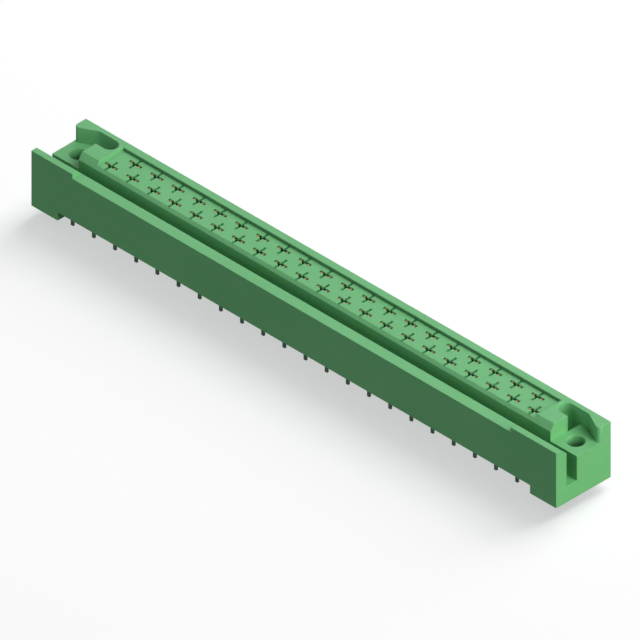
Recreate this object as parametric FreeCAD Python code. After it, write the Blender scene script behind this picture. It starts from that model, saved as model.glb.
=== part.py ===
# Two-row board connector with crossed contact cavities, built as one moulded housing,
# its forked contacts and two board pins. Lengths are in millimetres.
# The origin lies midway between the two mounting holes, on the seating plane of the feet.
# +X runs along the housing, +Y towards the back wall, +Z the way the mating half leaves.
import FreeCAD, Part
import math
import os

# Housing outside
body_width = 13.15
body_height = 11.55
foot_length = 6.33
foot_height = 1.70

# Front wall and the slot behind it
front_wall = 2.54
front_wall_height = 11.45
front_wall_land = 1.27
slot_width = 2.46
slot_floor = 3.34
front_relief_height = 10.52
front_relief_left = 9.90
front_relief_right = 10.90

# Contact block and back wall
block_bevel_run = 0.91
block_bevel_rise = 1.31
field_height = 10.90
field_inset = 10.45
back_wall = 1.49

# Ends: shelf, mounting hole, slanted corner wall and round-ended pocket
shelf_length = 6.35
shelf_height = 8.35
hole_diameter = 3.30
hole_inset = 3.35
hole_setback = 8.05
thin_back_wall = 1.02
corner_wall_run = 4.30
corner_wall_rise = 2.20
corner_nose_radius = 0.65
pocket_width = 2.98
pocket_inset = 9.81
pocket_floor = 4.50

# Contact layout: the outermost front contacts lie end_margin from the end faces
pitch = 5.08
front_count = 21
back_count = 20
end_margin = 12.20
front_row_setback = 6.95
row_gap = 3.30

# Cavities
cross_length = 3.04
cross_width = 0.56
skin_thickness = 1.00
chamber_width = 2.90
chamber_floor = 4.60

# Forked contacts, stamped from strip
stock = 0.42
fork_width = 2.60
fork_gap = 1.25
fork_root = 7.20
fork_root_bevel = 0.30
fork_lead = 0.15
fork_lead_depth = 0.80
fork_shoulder_cut = 0.20
tip_depth = 0.15
blade_width = 1.50
blade_bottom = 3.20
tail_width = 0.56
tail_reach = 2.04
tail_crank = 4.10
tail_point = 0.12
bend_bevel = 0.20
fit_clearance = 0.05

# Grooves under the base
groove_depth = 0.80

# Board pins beyond the ends of the front tail row
board_pin_embed = 1.20

# Places worked out from the sizes above
front_row_half = pitch * (front_count - 1) / 2
x_end = front_row_half + end_margin
y_front = -hole_setback
y_back = y_front + body_width
y_slot_front = y_front + front_wall
y_block = y_slot_front + slot_width
y_field_back = y_back - back_wall
y_pocket_back = y_back - thin_back_wall
y_front_row = y_front + front_row_setback
y_back_row = y_front_row + row_gap
y_front_tail = y_front_row - tail_crank
z_field = field_height
z_groove = foot_height + groove_depth
z_bar = z_groove - fit_clearance - stock / 2
z_tip = -tail_reach
z_stem = blade_bottom - (blade_width - tail_width) / 2
z_fork_top = field_height - tip_depth
back_row_half = pitch * (back_count - 1) / 2
front_row_x = [-front_row_half + pitch * i for i in range(front_count)]
back_row_x = [-back_row_half + pitch * i for i in range(back_count)]
board_pin_x = front_row_half + pitch
over = 1.0


def vec(x, y, z):
    return FreeCAD.Vector(x, y, z)


def box(x0, x1, y0, y1, z0, z1):
    return Part.makeBox(x1 - x0, y1 - y0, z1 - z0, vec(x0, y0, z0))


def prism(points, along):
    """Extrude the flat outline through the points by a vector."""
    face = Part.Face(Part.makePolygon(points + points[:1]))
    return face.extrude(along)


def prism_along_x(outline, x0, x1):
    return prism([vec(x0, y, z) for y, z in outline], vec(x1 - x0, 0, 0))


def prism_along_y(outline, y0, y1):
    return prism([vec(x, y0, z) for x, z in outline], vec(0, y1 - y0, 0))


def prism_along_z(outline, z0, z1):
    return prism([vec(x, y, z0) for x, y in outline], vec(0, 0, z1 - z0))


def mirrored(shape):
    """The same shape at the other end of the housing."""
    return shape.mirror(vec(0, 0, 0), vec(1, 0, 0))


def at_both_ends(shape):
    return [shape, mirrored(shape)]


def line(a, b):
    return Part.LineSegment(a, b).toShape()


def arc(a, through, b):
    return Part.Arc(a, through, b).toShape()


# Housing
def full_section():
    """The housing's constant section, before its ends and its middle are cut."""
    front_bevel = front_wall - front_wall_land
    return [
        (y_front, 0.0),
        (y_front, front_wall_height),
        (y_front + front_wall_land, front_wall_height),
        (y_slot_front, front_wall_height - front_bevel),
        (y_slot_front, slot_floor),
        (y_block, slot_floor),
        (y_block, body_height - block_bevel_rise),
        (y_block + block_bevel_run, body_height),
        (y_back, body_height),
        (y_back, 0.0),
    ]


def front_relief():
    """The middle of the front wall is lower than its two ends."""
    return box(
        -x_end + front_relief_left, x_end - front_relief_right,
        y_front - over, y_slot_front + slot_width / 2,
        front_relief_height, body_height + over)


def field_relief():
    """The contact field, sunk below the block's ends."""
    half = x_end - field_inset
    return box(-half, half, y_block - over, y_field_back, z_field, body_height + over)


def underside_relief():
    """The space between the two feet."""
    half = x_end - foot_length
    return box(-half, half, y_front - over, y_back + over, -over, foot_height)


def shelf_cut():
    """The right end's shelf: open at the end face, closed behind by the slanted corner wall."""
    x_wall = x_end - corner_wall_run
    y_end = y_pocket_back - corner_wall_rise
    x_shelf = x_end - shelf_length
    slope = math.atan2(corner_wall_rise, corner_wall_run)
    y_out = y_end - over * math.tan(slope)
    outline = [
        (x_shelf, y_block - over),
        (x_shelf, y_pocket_back),
        (x_wall, y_pocket_back),
        (x_end + over, y_out),
        (x_end + over, y_block - over),
    ]
    return prism_along_z(outline, shelf_height, body_height + over)


def corner_nose_cut():
    """Rounds the upright edge between the slanted corner wall and the end face."""
    slope = math.atan2(corner_wall_rise, corner_wall_run)
    r = corner_nose_radius
    y_end = y_pocket_back - corner_wall_rise
    centre_x = x_end - r
    centre_y = y_end + r * (1 / math.cos(slope) + math.tan(slope))
    wall_x = centre_x - r * math.sin(slope)
    wall_y = centre_y - r * math.cos(slope)
    turn = (math.pi / 2 + slope) / 2
    middle_x = centre_x + r * math.cos(turn)
    middle_y = centre_y - r * math.sin(turn)
    z = shelf_height
    on_face = vec(x_end, centre_y, z)
    on_wall = vec(wall_x, wall_y, z)
    corner = vec(x_end, y_end, z)
    outside = vec(x_end + over, centre_y, z)
    below = vec(x_end + over, y_end - over, z)
    left = vec(wall_x, y_end - over, z)
    edges = [
        arc(on_face, vec(middle_x, middle_y, z), on_wall),
        line(on_wall, left),
        line(left, below),
        line(below, outside),
        line(outside, on_face),
    ]
    face = Part.Face(Part.Wire(edges))
    return face.extrude(vec(0, 0, body_height + over - z))


def pocket_cut():
    """The deep pocket behind the block's right end: straight sides and a round inner end."""
    r = pocket_width / 2
    y_mid = y_pocket_back - r
    x_round = x_end - pocket_inset + r
    x_open = x_end - shelf_length
    straight = box(x_round, x_open, y_mid - r, y_mid + r, pocket_floor, body_height + over)
    depth = body_height + over - pocket_floor
    round_end = Part.makeCylinder(r, depth, vec(x_round, y_mid, pocket_floor))
    return straight.fuse(round_end)


def mounting_hole():
    return Part.makeCylinder(hole_diameter / 2, shelf_height + 2 * over, vec(x_end - hole_inset, 0, -over))


def cavity(x, y):
    """One contact's cavity: a cross through the skin, a square chamber and a slot through the base.

    The back row's rear arm stops at the back wall.
    """
    half_long = cross_length / 2
    half_wide = cross_width / 2
    half_chamber = chamber_width / 2
    z_skin = z_field - skin_thickness
    slot_half = blade_width / 2 + fit_clearance
    slot_depth_half = stock / 2 + fit_clearance
    along = box(x - half_long, x + half_long, y - half_wide, y + half_wide, z_skin, z_field + over)
    y_arm_back = min(y + half_long, y_field_back)
    across = box(x - half_wide, x + half_wide, y - half_long, y_arm_back, z_skin, z_field + over)
    chamber = box(x - half_chamber, x + half_chamber, y - half_chamber, y + half_chamber, chamber_floor, z_skin)
    base_slot = box(
        x - slot_half, x + slot_half, y - slot_depth_half, y + slot_depth_half,
        -over, chamber_floor)
    return along.fuse([across, chamber, base_slot])


def tail_groove(x):
    """The groove under the base that the front row's cranked tails lie in."""
    half = tail_width / 2 + fit_clearance
    y0 = y_front_tail - stock / 2 - fit_clearance
    return box(x - half, x + half, y0, y_front_row, -over, z_groove)


def board_pin_hole(x):
    half_x = tail_width / 2 + fit_clearance
    half_y = stock / 2 + fit_clearance
    top = foot_height + board_pin_embed
    return box(x - half_x, x + half_x, y_front_tail - half_y, y_front_tail + half_y, -over, top)


def housing():
    body = prism_along_x(full_section(), -x_end, x_end)
    cuts = [front_relief(), field_relief(), underside_relief()]
    cuts += at_both_ends(shelf_cut())
    cuts += at_both_ends(corner_nose_cut())
    cuts += at_both_ends(pocket_cut())
    cuts += at_both_ends(mounting_hole())
    body = body.cut(cuts)
    cells = [cavity(x, y_front_row) for x in front_row_x]
    cells += [cavity(x, y_back_row) for x in back_row_x]
    cells += [tail_groove(x) for x in front_row_x]
    cells += [board_pin_hole(x) for x in (-board_pin_x, board_pin_x)]
    return body.cut(cells).removeSplitter()


# Contacts
def fork_plate(x, y):
    """The flat fork: two tines, a yoke with shoulders and the blade that fills the base slot."""
    half = fork_width / 2
    gap = fork_gap / 2
    right = [
        (gap - fork_root_bevel, fork_root),
        (gap, fork_root + fork_root_bevel),
        (gap, z_fork_top - fork_lead_depth),
        (gap + fork_lead, z_fork_top),
        (half - fork_shoulder_cut, z_fork_top),
        (half, z_fork_top - 2 * fork_shoulder_cut),
        (half, chamber_floor),
        (blade_width / 2, chamber_floor),
        (blade_width / 2, blade_bottom),
        (tail_width / 2, z_stem),
    ]
    left = [(-dx, z) for dx, z in reversed(right)]
    outline = [(x + dx, z) for dx, z in right + left]
    return prism_along_y(outline, y - stock / 2, y + stock / 2)


def pointed(shape):
    """Bevels the four lower edges of a tail."""
    tip = [edge for edge in shape.Edges if all(abs(v.Z - z_tip) < 1e-6 for v in edge.Vertexes)]
    return shape.makeChamfer(tail_point, tip)


def cranked_tail(x):
    """The front row's tail: bent forward under the base, then down through the board."""
    t = stock / 2
    back = y_front_row
    fore = y_front_tail
    outline = [
        (back + t, z_stem),
        (back - t, z_stem),
        (back - t, z_bar + t),
        (fore - t + bend_bevel, z_bar + t),
        (fore - t, z_bar + t - bend_bevel),
        (fore - t, z_tip),
        (fore + t, z_tip),
        (fore + t, z_bar - t),
        (back + t - bend_bevel, z_bar - t),
        (back + t, z_bar - t + bend_bevel),
    ]
    return pointed(prism_along_x(outline, x - tail_width / 2, x + tail_width / 2))


def straight_tail(x, y, z_top):
    half_x = tail_width / 2
    half_y = stock / 2
    return pointed(box(x - half_x, x + half_x, y - half_y, y + half_y, z_tip, z_top))


def front_contact(x):
    return fork_plate(x, y_front_row).fuse(cranked_tail(x)).removeSplitter()


def back_contact(x):
    return fork_plate(x, y_back_row).fuse(straight_tail(x, y_back_row, z_stem)).removeSplitter()


def board_pin(x):
    return straight_tail(x, y_front_tail, foot_height + board_pin_embed)


# Writing the pieces, one file each
def write(shape, node):
    solids = shape.Solids
    if len(solids) != 1 or not shape.isValid():
        raise ValueError("bad shape for " + node)
    solids[0].exportStep("parts/" + node + ".step")
    print(node, round(solids[0].Volume, 3))


os.makedirs("parts", exist_ok=True)
write(housing(), "housing")
for number, x in enumerate(front_row_x, 1):
    write(front_contact(x), "contact_front_%02d" % number)
for number, x in enumerate(back_row_x, 1):
    write(back_contact(x), "contact_back_%02d" % number)
write(board_pin(-board_pin_x), "board_pin_left")
write(board_pin(board_pin_x), "board_pin_right")
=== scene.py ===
"""Two-row board connector: a green moulded housing and its forked contacts, on a pale floor.

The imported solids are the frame. The housing is dressed with softened edges, and every
piece gets a procedural finish that follows Object coordinates. Lengths are in metres.
"""
import math

import bmesh
import bpy
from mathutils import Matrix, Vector

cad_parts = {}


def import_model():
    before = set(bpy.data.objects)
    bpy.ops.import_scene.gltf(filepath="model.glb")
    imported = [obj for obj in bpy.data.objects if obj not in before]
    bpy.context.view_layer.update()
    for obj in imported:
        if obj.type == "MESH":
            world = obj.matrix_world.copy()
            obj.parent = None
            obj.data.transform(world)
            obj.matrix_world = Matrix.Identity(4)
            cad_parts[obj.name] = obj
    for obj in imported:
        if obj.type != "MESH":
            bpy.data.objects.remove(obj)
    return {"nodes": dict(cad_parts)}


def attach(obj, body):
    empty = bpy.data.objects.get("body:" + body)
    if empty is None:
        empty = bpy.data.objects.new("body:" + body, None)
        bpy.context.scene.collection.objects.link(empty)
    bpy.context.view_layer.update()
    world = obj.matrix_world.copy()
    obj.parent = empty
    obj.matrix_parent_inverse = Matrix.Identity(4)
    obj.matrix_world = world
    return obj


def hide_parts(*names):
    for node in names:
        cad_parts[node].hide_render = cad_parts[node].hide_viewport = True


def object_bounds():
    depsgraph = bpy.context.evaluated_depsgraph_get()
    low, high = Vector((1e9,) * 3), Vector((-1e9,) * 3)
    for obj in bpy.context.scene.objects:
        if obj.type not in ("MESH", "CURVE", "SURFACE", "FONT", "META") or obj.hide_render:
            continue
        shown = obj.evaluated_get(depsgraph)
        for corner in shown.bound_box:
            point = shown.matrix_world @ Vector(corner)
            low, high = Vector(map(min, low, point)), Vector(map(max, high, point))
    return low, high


MM = 0.001

# Dressing of the housing: outer edges sharper than the sharp angle are rounded
EDGE_SOFTNESS = 0.08 * MM
EDGE_SEGMENTS = 2
MERGE_DISTANCE = 0.0005 * MM
SHARP_ANGLE = math.radians(28)
FLAT_ANGLE = math.radians(0.6)

# Painted shade in the moulding's insides. Each range is along the housing, across it or in
# height, and a fade softens its ends. Along the housing it counts from the middle, both ways.
CAVITIES_ALONG = 52.4 * MM
CAVITIES_ACROSS = (-2.1 * MM, 3.5 * MM)
CAVITIES_HEIGHT = (2.3 * MM, 10.42 * MM)
CAVITIES_FADE = 0.12 * MM
HOLES_ALONG = (57.9 * MM, 61.4 * MM)
HOLES_ACROSS = 1.75 * MM
HOLES_HEIGHT = (0.3 * MM, 6.9 * MM)
HOLES_FADE = 1.2 * MM
INSIDE_SHADE = 0.8
WALL_FOOT_ACROSS = (3.45 * MM, 3.75 * MM)
WALL_FOOT_HEIGHT = (10.7 * MM, 11.38 * MM)
WALL_FOOT_FADE = 0.04 * MM
WALL_FOOT_SHADE = 0.55

# Kinds of noise, and the value round which all of them swing
NOISE_MIDDLE = 0.5
SMOOTH = {"Detail": 2.0, "Roughness": 0.5}
BUSY = {"Detail": 3.0, "Roughness": 0.6}

# Green moulding: its colours and the dark green painted as shade in its insides, the size of
# each pattern, and how far each one moves the tone between deep and fresh, and the roughness
DEEP_GREEN = (0.116, 0.387, 0.156, 1)
FRESH_GREEN = (0.141, 0.423, 0.185, 1)
# Dark green painted where shade falls in cavities, holes and at the back wall's foot
PAINTED_SHADE_GREEN = (0.010, 0.040, 0.014, 1)
CLOUD_SIZE = 14 * MM
SPECKLE_SIZE = 0.35 * MM
STREAK_SIZE = 0.9 * MM
STREAK_STRETCH = (0.04, 1.0, 1.0)
GREEN_TONE = 0.5
TONE_SHARES = {"clouds": 1.4, "speckle": 0.5, "streaks": 1.2}
GREEN_ROUGHNESS = 0.42
GREEN_ROUGHNESS_SHARES = {"speckle": 0.14, "clouds": 0.1, "streaks": 0.12}
GREEN_GRAIN_SIZE = 0.12 * MM
GREEN_GRAIN_DEPTH = 0.004 * MM
GREEN_GRAIN_STRENGTH = 0.35
GREEN_IOR = 1.5
GREEN_GLOSS = 0.42

# Contact strip: gold on the forks, tin on the tails, with an uneven edge between them
GOLD = (0.52, 0.30, 0.15, 1)
TIN = (0.26, 0.44, 0.29, 1)
GOLD_STARTS = 2.9 * MM
GOLD_BLEND = 0.5 * MM
GOLD_EDGE_SHARES = {"blotches": 0.4 * MM}
BLOTCH_SIZE = 0.8 * MM
TIN_ROUGHNESS = 0.34
GOLD_SMOOTHER_BY = 0.08
STRIP_ROUGHNESS_SHARES = {"blotches": 0.16, "lines": 0.1}
LINE_SIZE = 0.05 * MM
LINE_STRETCH = (1.0, 1.0, 0.08)
LINE_DEPTH = 0.002 * MM
LINE_STRENGTH = 0.3

# Picture: a level parallel view from the front right, 45 degrees round and 35.26 up
VIEW_AZIMUTH = math.radians(45)
VIEW_ELEVATION = math.atan(math.sqrt(0.5))
VIEW_WIDTH = 108.62 * MM
VIEW_AIM = Vector((-4.56, 2.83, 0.0)) * MM
VIEW_DISTANCE = 0.6
VIEW_NEAREST = 0.01
VIEW_FARTHEST = 10.0

# Studio: the part's lamps pass the floor by, and the floor has its own lamps and a faint glow.
# Each lamp: name, direction, size in metres, energy in watts, colour.
FLOOR_SIZE = 6.0
FLOOR_PAINT = (0.93, 0.92, 0.935, 1)
FLOOR_GLOW = (0.530, 0.530, 0.535, 1)
FLOOR_ROUGHNESS = 0.9
FLOOR_GLOSS = 0.1
AIR_STRENGTH = 0.12
LAMP_DISTANCE = 1.2
WHITE = (1.0, 1.0, 1.0)
CREAM = (1.0, 1.0, 0.95)
WARM = (1.0, 0.99, 0.72)
PART_LAMPS = [
    ("part_high_right", (0.8, 0.1, 0.9), 0.9, 14.6, CREAM),
    ("part_low_right", (1.0, 0.15, 0.12), 0.5, 7.6, WARM),
    ("part_back", (0.0, 1.0, 1.0), 0.9, 2.9, WHITE),
    ("part_back_left", (-0.7, 0.7, 0.6), 0.9, 1.5, WHITE),
    ("part_front_left", (-0.7, -0.7, 0.6), 0.7, 2.2, WHITE),
    ("part_front", (0.25, -1.0, 0.3), 0.7, 1.9, WHITE),
]
FLOOR_LAMPS = [
    ("floor_back", (0.0, 1.0, 0.6), 0.9, 3.7, WHITE),
    ("floor_high", (0.0, 0.6, 1.0), 0.9, 5.0, WHITE),
]

# A Mix node has sockets of one name for each kind of data: these are the ones for colours
MIX_FACTOR, MIX_FIRST, MIX_SECOND, MIX_RESULT = 0, 6, 7, 2


# Shader maths
class Socket:
    """A node output that Python's operators turn into Math nodes."""

    def __init__(self, shader, link):
        self.shader = shader
        self.link = link

    def _math(self, operation, *values):
        inputs = dict(enumerate(values))
        return self.shader.node("ShaderNodeMath", {"operation": operation}, inputs).out("Value")

    def __add__(self, other):
        return self._math("ADD", self, other)

    def __radd__(self, other):
        return self._math("ADD", other, self)

    def __sub__(self, other):
        return self._math("SUBTRACT", self, other)

    def __rsub__(self, other):
        return self._math("SUBTRACT", other, self)

    def __mul__(self, other):
        return self._math("MULTIPLY", self, other)

    def __rmul__(self, other):
        return self._math("MULTIPLY", other, self)

    def size(self):
        """The value without its sign."""
        return self._math("ABSOLUTE", self)

    def clamped(self):
        """The value, held between 0 and 1."""
        return self._math("MINIMUM", self._math("MAXIMUM", self, 0.0), 1.0)


class Node:
    """A node with its outputs ready for expressions."""

    def __init__(self, shader, node):
        self.shader = shader
        self.node = node

    def out(self, key):
        return Socket(self.shader, self.node.outputs[key])


class Shader:
    """One material under construction."""

    def __init__(self, name):
        self.material = bpy.data.materials.new(name)
        self.material.use_nodes = True
        self.tree = self.material.node_tree
        self.tree.nodes.clear()

    def node(self, kind, settings, inputs):
        """A node of a kind, with its settings made first and then its sockets set or linked."""
        node = self.tree.nodes.new(kind)
        for key, value in settings.items():
            setattr(node, key, value)
        for key, value in inputs.items():
            if isinstance(value, Socket):
                self.tree.links.new(value.link, node.inputs[key])
            else:
                node.inputs[key].default_value = value
        return Node(self, node)

    def place(self):
        """Object coordinates in metres."""
        return self.node("ShaderNodeTexCoord", {}, {}).out("Object")

    def axes(self, place):
        """A place along the housing, across it and in height."""
        split = self.node("ShaderNodeSeparateXYZ", {}, {"Vector": place})
        return [split.out(axis) for axis in "XYZ"]

    def stretched(self, place, scale):
        """Coordinates that draw a pattern out along the axes whose scale is under 1."""
        return self.node("ShaderNodeMapping", {}, {"Vector": place, "Scale": scale}).out("Vector")

    def noise(self, place, size, kind):
        """Noise of a kind, whose features are about the given size in metres."""
        values = {"Vector": place, "Scale": 1.0 / size, **kind}
        return self.node("ShaderNodeTexNoise", {}, values).out("Fac")

    def steps(self, value, low, high):
        """0 below low, 1 above high, smooth between."""
        values = {"Value": value, "From Min": low, "From Max": high}
        settings = {"interpolation_type": "SMOOTHSTEP"}
        return self.node("ShaderNodeMapRange", settings, values).out("Result")

    def within(self, value, low, high, fade):
        """1 between low and high, 0 outside them."""
        past_low = self.steps(value, low - fade, low + fade)
        past_high = self.steps(value, high - fade, high + fade)
        return past_low * (1.0 - past_high)

    def blend(self, factor, first, second):
        """A colour between two, by the factor."""
        values = {MIX_FACTOR: factor, MIX_FIRST: first, MIX_SECOND: second}
        return self.node("ShaderNodeMix", {"data_type": "RGBA"}, values).out(MIX_RESULT)

    def bump(self, height, distance, strength):
        values = {"Height": height, "Distance": distance, "Strength": strength}
        return self.node("ShaderNodeBump", {}, values).out("Normal")

    def surface(self, values):
        """Ends the material in a Principled shader with these socket values."""
        shader = self.node("ShaderNodeBsdfPrincipled", {}, values)
        self.node("ShaderNodeOutputMaterial", {}, {"Surface": shader.out("BSDF")})
        return self.material


def varied(middle, patterns, shares):
    """A value that swings round its middle with each pattern, by that pattern's share."""
    value = middle
    for name, share in shares.items():
        value = value + (patterns[name] - NOISE_MIDDLE) * share
    return value


# Finishes
def painted_shade(finish, place):
    """Painted shade on the moulding: in its cavities, its mounting holes and at the foot of its
    back wall.
    """
    along, across, height = finish.axes(place)
    from_middle = along.size()
    beside_rows = 1.0 - finish.steps(from_middle, CAVITIES_ALONG, CAVITIES_ALONG + CAVITIES_FADE)
    # Painted shade down in the contact cavities and the slot
    cavity_painted_shade = (
        beside_rows
        * finish.within(across, *CAVITIES_ACROSS, CAVITIES_FADE)
        * finish.within(height, *CAVITIES_HEIGHT, CAVITIES_FADE))
    # A painted line of shade at the foot of the back wall
    wall_foot_painted_shade = (
        beside_rows
        * finish.within(across, *WALL_FOOT_ACROSS, WALL_FOOT_FADE)
        * finish.within(height, *WALL_FOOT_HEIGHT, WALL_FOOT_FADE))
    # Painted shade that deepens down the mounting holes
    hole_painted_shade = (
        finish.within(from_middle, *HOLES_ALONG, CAVITIES_FADE)
        * (1.0 - finish.steps(across.size(), HOLES_ACROSS, HOLES_ACROSS + CAVITIES_FADE))
        * finish.within(height, *HOLES_HEIGHT, HOLES_FADE))
    return (cavity_painted_shade + hole_painted_shade) * INSIDE_SHADE + wall_foot_painted_shade * WALL_FOOT_SHADE


def moulded_green():
    """Satin green thermoset: fine grain, faint clouds, flow streaks, and painted shade in its
    insides.
    """
    finish = Shader("moulded green plastic")
    place = finish.place()
    patterns = {
        "clouds": finish.noise(place, CLOUD_SIZE, SMOOTH),
        "speckle": finish.noise(place, SPECKLE_SIZE, BUSY),
        "streaks": finish.noise(finish.stretched(place, STREAK_STRETCH), STREAK_SIZE, BUSY),
    }
    grain = finish.noise(place, GREEN_GRAIN_SIZE, SMOOTH)
    tone = varied(GREEN_TONE, patterns, TONE_SHARES).clamped()
    unshaded_green = finish.blend(tone, DEEP_GREEN, FRESH_GREEN)
    return finish.surface({
        # Painted shade: the green is blended towards the dark shade green in the insides
        "Base Color": finish.blend(painted_shade(finish, place), unshaded_green, PAINTED_SHADE_GREEN),
        "Roughness": varied(GREEN_ROUGHNESS, patterns, GREEN_ROUGHNESS_SHARES),
        "IOR": GREEN_IOR,
        "Specular IOR Level": GREEN_GLOSS,
        "Normal": finish.bump(grain, GREEN_GRAIN_DEPTH, GREEN_GRAIN_STRENGTH),
    })


def contact_metal():
    """Stamped strip: gold on the fork, tin on the tail, faint drawing lines along it."""
    finish = Shader("gold and tin contact")
    place = finish.place()
    height = finish.axes(place)[2]
    patterns = {
        "blotches": finish.noise(place, BLOTCH_SIZE, SMOOTH),
        "lines": finish.noise(finish.stretched(place, LINE_STRETCH), LINE_SIZE, SMOOTH),
    }
    uneven_height = varied(height, patterns, GOLD_EDGE_SHARES)
    gold_share = finish.steps(uneven_height, GOLD_STARTS - GOLD_BLEND, GOLD_STARTS + GOLD_BLEND)
    roughness = TIN_ROUGHNESS - gold_share * GOLD_SMOOTHER_BY
    return finish.surface({
        "Base Color": finish.blend(gold_share, TIN, GOLD),
        "Metallic": 1.0,
        "Roughness": varied(roughness, patterns, STRIP_ROUGHNESS_SHARES),
        "Normal": finish.bump(patterns["lines"], LINE_DEPTH, LINE_STRENGTH),
    })


def studio_floor_paint():
    """Pale paint that glows a little, so shadows on it stay light."""
    finish = Shader("pale floor")
    return finish.surface({
        "Base Color": FLOOR_PAINT,
        "Roughness": FLOOR_ROUGHNESS,
        "Specular IOR Level": FLOOR_GLOSS,
        "Emission Color": FLOOR_GLOW,
        "Emission Strength": 1.0,
    })


# Pieces
def finish_object(obj, material):
    obj.data.materials.clear()
    obj.data.materials.append(material)


def soft_edged_copy(name, source):
    """The node's solid as one clean closed mesh, with its outer edges marked for a bevel."""
    mesh = source.data.copy()
    mesh.name = name
    solid = bmesh.new()
    solid.from_mesh(mesh)
    bmesh.ops.remove_doubles(solid, verts=solid.verts, dist=MERGE_DISTANCE)
    bmesh.ops.dissolve_limit(
        solid, angle_limit=FLAT_ANGLE, verts=solid.verts, edges=solid.edges,
        use_dissolve_boundaries=False)
    weight = solid.edges.layers.float.new("bevel_weight_edge")
    for edge in solid.edges:
        if edge.is_manifold and edge.is_convex and edge.calc_face_angle() > SHARP_ANGLE:
            edge[weight] = 1.0
    solid.to_mesh(mesh)
    solid.free()
    copy = bpy.data.objects.new(name, mesh)
    bpy.context.scene.collection.objects.link(copy)
    return copy


def dress_housing(housing, material):
    """A copy of the housing with softened edges, which stands for the solid."""
    dressed = soft_edged_copy("moulded_housing", housing)
    finish_object(dressed, material)
    bevel = dressed.modifiers.new("softened edges", "BEVEL")
    bevel.width = EDGE_SOFTNESS
    bevel.segments = EDGE_SEGMENTS
    bevel.limit_method = "WEIGHT"
    bevel.use_clamp_overlap = False
    bevel.harden_normals = True
    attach(dressed, "root")
    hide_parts("housing")


def dress_contacts(nodes, material):
    """Contacts and board pins are the solids themselves, with a better finish."""
    for name, node in nodes.items():
        if name != "housing":
            finish_object(node, material)


# Studio
def lay_floor(height):
    """The floor shows and takes shadows, and throws no light back up at the front wall."""
    bpy.ops.mesh.primitive_plane_add(size=FLOOR_SIZE, location=(0, 0, height))
    floor = bpy.context.object
    floor.name = "studio_floor"
    floor.visible_diffuse = False
    floor.visible_glossy = False
    finish_object(floor, studio_floor_paint())
    return floor


def add_lamp(name, direction, size, energy, colour, reach):
    """A round lamp facing the connector, which lights what its reach collection names."""
    lamp = bpy.data.lights.new(name, "AREA")
    lamp.shape = "DISK"
    lamp.size = size
    lamp.energy = energy
    lamp.color = colour
    obj = bpy.data.objects.new(name, lamp)
    towards = Vector(direction).normalized()
    obj.location = towards * LAMP_DISTANCE
    obj.rotation_euler = towards.to_track_quat("Z", "Y").to_euler()
    obj.light_linking.receiver_collection = reach
    bpy.context.scene.collection.objects.link(obj)


def reach_of(name, obj, state):
    """A lamp's reach that holds this object alone (INCLUDE) or all but it (EXCLUDE)."""
    reach = bpy.data.collections.new(name)
    reach.objects.link(obj)
    reach.collection_objects[0].light_linking.link_state = state
    return reach


def light_studio(floor):
    """White air, and the two sets of lamps."""
    world = bpy.data.worlds.new("studio air")
    bpy.context.scene.world = world
    world.use_nodes = True
    background = world.node_tree.nodes["Background"]
    background.inputs["Color"].default_value = (*WHITE, 1)
    background.inputs["Strength"].default_value = AIR_STRENGTH
    all_but_floor = reach_of("all but the floor", floor, "EXCLUDE")
    floor_alone = reach_of("floor alone", floor, "INCLUDE")
    for lamps, reach in ((PART_LAMPS, all_but_floor), (FLOOR_LAMPS, floor_alone)):
        for lamp in lamps:
            add_lamp(*lamp, reach)


def place_camera():
    """A parallel camera at the picture's angle."""
    lens = bpy.data.cameras.new("camera")
    lens.type = "ORTHO"
    lens.ortho_scale = VIEW_WIDTH
    lens.clip_start = VIEW_NEAREST
    lens.clip_end = VIEW_FARTHEST
    camera = bpy.data.objects.new("camera", lens)
    back = Vector((
        math.sin(VIEW_AZIMUTH) * math.cos(VIEW_ELEVATION),
        -math.cos(VIEW_AZIMUTH) * math.cos(VIEW_ELEVATION),
        math.sin(VIEW_ELEVATION)))
    camera.location = VIEW_AIM + back * VIEW_DISTANCE
    camera.rotation_euler = back.to_track_quat("Z", "Y").to_euler()
    bpy.context.scene.collection.objects.link(camera)
    bpy.context.scene.camera = camera


def build():
    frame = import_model()
    cad_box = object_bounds()
    nodes = frame["nodes"]
    dress_housing(nodes["housing"], moulded_green())
    dress_contacts(nodes, contact_metal())
    lowest_corner = cad_box[0]
    light_studio(lay_floor(lowest_corner[2]))
    place_camera()
    bpy.context.scene.view_settings.view_transform = "Standard"


build()
